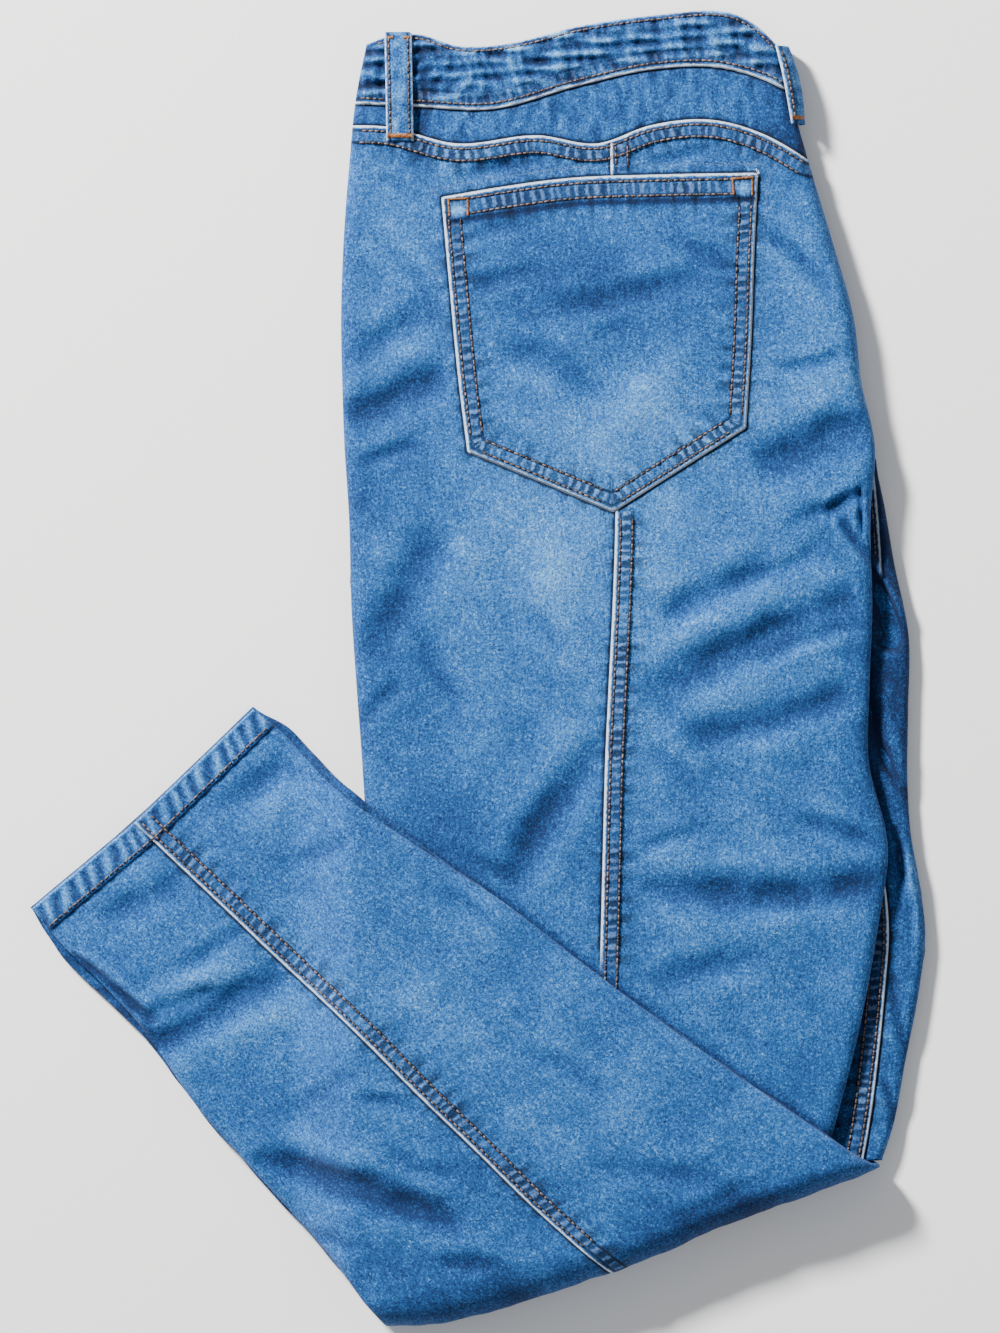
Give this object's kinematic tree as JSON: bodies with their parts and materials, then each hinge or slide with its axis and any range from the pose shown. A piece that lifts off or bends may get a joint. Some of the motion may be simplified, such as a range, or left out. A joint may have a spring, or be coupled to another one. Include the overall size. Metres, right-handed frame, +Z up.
{
  "type": "skinny jeans",
  "caption": "Light blue stretch denim skinny jeans, folded in half lengthwise with the lower legs turned up at the knee, lying flat.",
  "frame": {"origin": "under the middle of the garment's outline, on the surface it lies on", "axes": "+X from the outseam to the crotch side, +Y from the knee fold up to the waist, +Z up out of the surface it lies on"},
  "size_m": [0.448, 0.6582, 0.0324],
  "materials": {
    "denim": "washed, faded stretch denim",
    "denim_deep": "washed stretch denim, less faded"
  },
  "bodies": {
    "root": {"waistband": "denim_deep", "left_back_yoke": "denim", "left_back_outer_panel": "denim", "left_back_inner_panel": "denim", "left_back_pocket": "denim", "side_belt_loop": "denim_deep", "centre_back_belt_loop": "denim_deep", "right_back_outer_panel": "denim", "right_back_inner_panel": "denim", "right_thigh_inner_panel": "denim", "right_front_panel": "denim_deep", "folded_layers": "denim_deep", "turned_up_layers": "denim_deep"}
  },
  "joints": []
}
